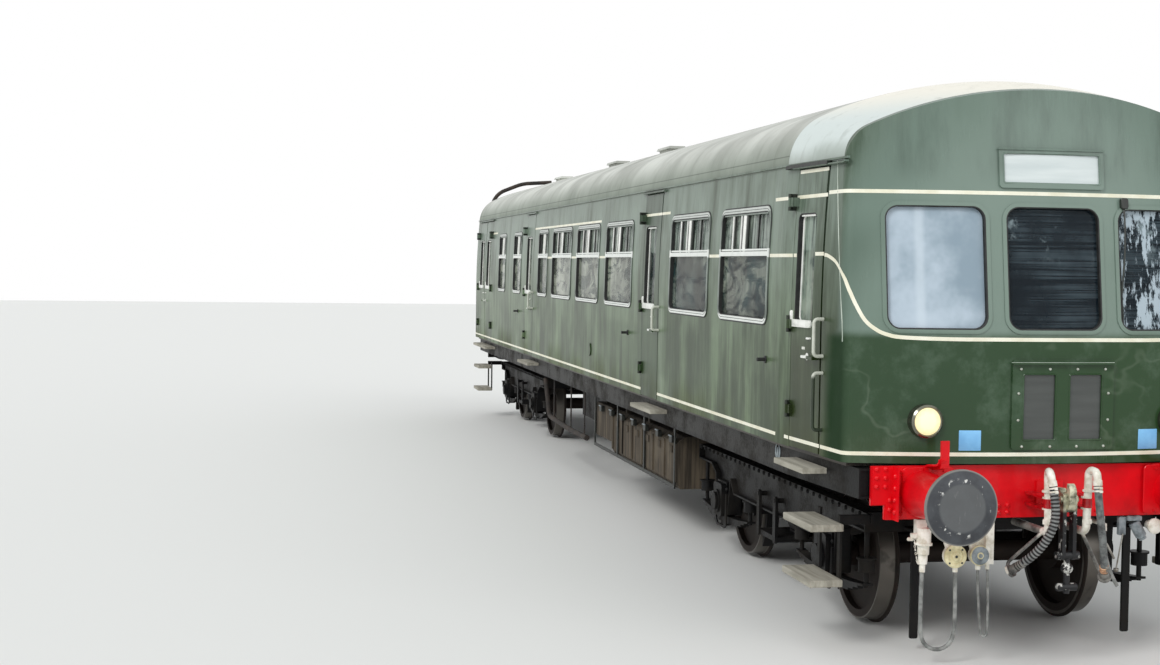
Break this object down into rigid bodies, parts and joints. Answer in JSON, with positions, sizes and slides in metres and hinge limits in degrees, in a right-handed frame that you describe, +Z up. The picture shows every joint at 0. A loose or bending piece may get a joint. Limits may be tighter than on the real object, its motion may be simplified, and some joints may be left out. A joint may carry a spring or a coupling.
{
  "type": "driving brake coach of a diesel railcar set",
  "caption": "Full-size passenger coach with a cab at one end and a gangway at the other, on two swivelling bogies, with hinged doors.",
  "frame": {"origin": "middle of the coach at the height of the wheel flange tips", "axes": "+X towards the cab, +Y to the coach's left, +Z up"},
  "size_m": [18.49, 2.98, 3.8989],
  "materials": {
    "battery_wood": "dusty painted battery boxes",
    "beam_red": "gloss red paint",
    "blind_white": "plain roller blind cloth",
    "body_green": "weathered gloss dark green paint",
    "buffer_grey": "dark grey paint with grease",
    "cable_grey": "pale grey cable sheath",
    "coupling_olive": "greasy cast steel",
    "desk_grey": "grey enamel",
    "exhaust_black": "sooty black steel",
    "floor_lino": "dark linoleum on steel",
    "frame_alloy": "dull anodised window frames",
    "glass": "toughened window glass",
    "hose_grey": "faded grey rubber hose",
    "lamp_glass": "lit pale yellow lens",
    "pipe_white": "white paint",
    "rail_bright": "worn bright metal",
    "roof_grey": "matt weathered light grey paint",
    "rubber_black": "black rubber",
    "seat_cloth": "dark blue moquette",
    "step_wood": "weathered step boards",
    "under_black": "matt black paint under brake dust",
    "wheel_steel": "rusty brown steel with bright treads",
    "wood_panel": "varnished partition boards"
  },
  "bodies": {
    "root": {"battery_boxes": "battery_wood", "blinds": "blind_white", "brake_pipes": "pipe_white", "buffer_beam": "beam_red", "buffer_heads": "buffer_grey", "bulkheads": "wood_panel", "cab_desk": "desk_grey", "cab_front": "body_green", "cab_roof": "roof_grey", "cable_loop": "cable_grey", "cable_pair": "cable_grey", "couplings": "coupling_olive", "door_lugs": "body_green", "door_stops": "rubber_black", "exhaust_pipes": "exhaust_black", "floor": "floor_lino", "footboards": "step_wood", "gangway": "rubber_black", "grab_rails": "rail_bright", "hose_left": "rubber_black", "hose_right": "hose_grey", "indicator_boxes": "body_green", "jumper_gear": "pipe_white", "marker_lamps": "lamp_glass", "power_units": "under_black", "rain_strips": "body_green", "rear_end": "body_green", "rear_headstock": "under_black", "roof": "roof_grey", "roof_vents": "roof_grey", "seats": "seat_cloth", "side_left": "body_green", "side_right": "body_green", "thin_hose": "cable_grey", "underframe": "under_black", "window_frames": "frame_alloy", "window_glass": "glass"},
    "bogie_front": {"bogie_front_axleboxes": "under_black", "bogie_front_bolster": "under_black", "bogie_front_brakes": "under_black", "bogie_front_frame": "under_black"},
    "bogie_rear": {"bogie_rear_axleboxes": "under_black", "bogie_rear_bolster": "under_black", "bogie_rear_brakes": "under_black", "bogie_rear_frame": "under_black"},
    "door_cab_left": {"door_cab_left": "body_green"},
    "door_cab_right": {"door_cab_right": "body_green"},
    "door_luggage_front_left": {"door_luggage_front_left": "body_green"},
    "door_luggage_front_right": {"door_luggage_front_right": "body_green"},
    "door_luggage_rear_left": {"door_luggage_rear_left": "body_green"},
    "door_luggage_rear_right": {"door_luggage_rear_right": "body_green"},
    "door_rear_left": {"door_rear_left": "body_green"},
    "door_rear_right": {"door_rear_right": "body_green"},
    "door_saloon_left": {"door_saloon_left": "body_green"},
    "door_saloon_right": {"door_saloon_right": "body_green"},
    "wheelset_front_leading": {"wheelset_front_leading": "wheel_steel"},
    "wheelset_front_trailing": {"wheelset_front_trailing": "wheel_steel"},
    "wheelset_rear_leading": {"wheelset_rear_leading": "wheel_steel"},
    "wheelset_rear_trailing": {"wheelset_rear_trailing": "wheel_steel"}
  },
  "joints": [
    {"name": "bogie_front_swivel", "type": "hinge", "parent": "root", "child": "bogie_front", "pos_m": [6.096, 0, 0.95], "axis": [0, 0, 1], "range_deg": [-4, 4]},
    {"name": "wheelset_front_leading_spin", "type": "hinge", "parent": "bogie_front", "child": "wheelset_front_leading", "pos_m": [7.3915, 0, 0.485], "axis": [0, 1, 0], "continuous": true},
    {"name": "wheelset_front_trailing_spin", "type": "hinge", "parent": "bogie_front", "child": "wheelset_front_trailing", "pos_m": [4.8005, 0, 0.485], "axis": [0, 1, 0], "continuous": true},
    {"name": "bogie_rear_swivel", "type": "hinge", "parent": "root", "child": "bogie_rear", "pos_m": [-6.096, 0, 0.95], "axis": [0, 0, 1], "range_deg": [-4, 4]},
    {"name": "wheelset_rear_leading_spin", "type": "hinge", "parent": "bogie_rear", "child": "wheelset_rear_leading", "pos_m": [-4.8005, 0, 0.485], "axis": [0, 1, 0], "continuous": true},
    {"name": "wheelset_rear_trailing_spin", "type": "hinge", "parent": "bogie_rear", "child": "wheelset_rear_trailing", "pos_m": [-7.3915, 0, 0.485], "axis": [0, 1, 0], "continuous": true},
    {"name": "door_cab_right_swing", "type": "hinge", "parent": "root", "child": "door_cab_right", "pos_m": [7.602, -1.42059, 1.29], "axis": [0, 0, -1], "range_deg": [0, 175]},
    {"name": "door_cab_left_swing", "type": "hinge", "parent": "root", "child": "door_cab_left", "pos_m": [7.602, 1.42059, 1.29], "axis": [0, 0, 1], "range_deg": [0, 175]},
    {"name": "door_saloon_right_swing", "type": "hinge", "parent": "root", "child": "door_saloon_right", "pos_m": [3.261, -1.432, 1.29], "axis": [0, 0, -1], "range_deg": [0, 175]},
    {"name": "door_saloon_left_swing", "type": "hinge", "parent": "root", "child": "door_saloon_left", "pos_m": [3.261, 1.432, 1.29], "axis": [0, 0, 1], "range_deg": [0, 175]},
    {"name": "door_rear_right_swing", "type": "hinge", "parent": "root", "child": "door_rear_right", "pos_m": [-3.619, -1.432, 1.29], "axis": [0, 0, -1], "range_deg": [0, 175]},
    {"name": "door_rear_left_swing", "type": "hinge", "parent": "root", "child": "door_rear_left", "pos_m": [-3.619, 1.432, 1.29], "axis": [0, 0, 1], "range_deg": [0, 175]},
    {"name": "door_luggage_rear_right_swing", "type": "hinge", "parent": "root", "child": "door_luggage_rear_right", "pos_m": [-8.3735, -1.432, 1.29], "axis": [0, 0, -1], "range_deg": [0, 175]},
    {"name": "door_luggage_rear_left_swing", "type": "hinge", "parent": "root", "child": "door_luggage_rear_left", "pos_m": [-8.3735, 1.432, 1.29], "axis": [0, 0, 1], "range_deg": [0, 175]},
    {"name": "door_luggage_front_right_swing", "type": "hinge", "parent": "root", "child": "door_luggage_front_right", "pos_m": [-6.9125, -1.432, 1.29], "axis": [0, 0, 1], "range_deg": [0, 175]},
    {"name": "door_luggage_front_left_swing", "type": "hinge", "parent": "root", "child": "door_luggage_front_left", "pos_m": [-6.9125, 1.432, 1.29], "axis": [0, 0, -1], "range_deg": [0, 175]}
  ]
}
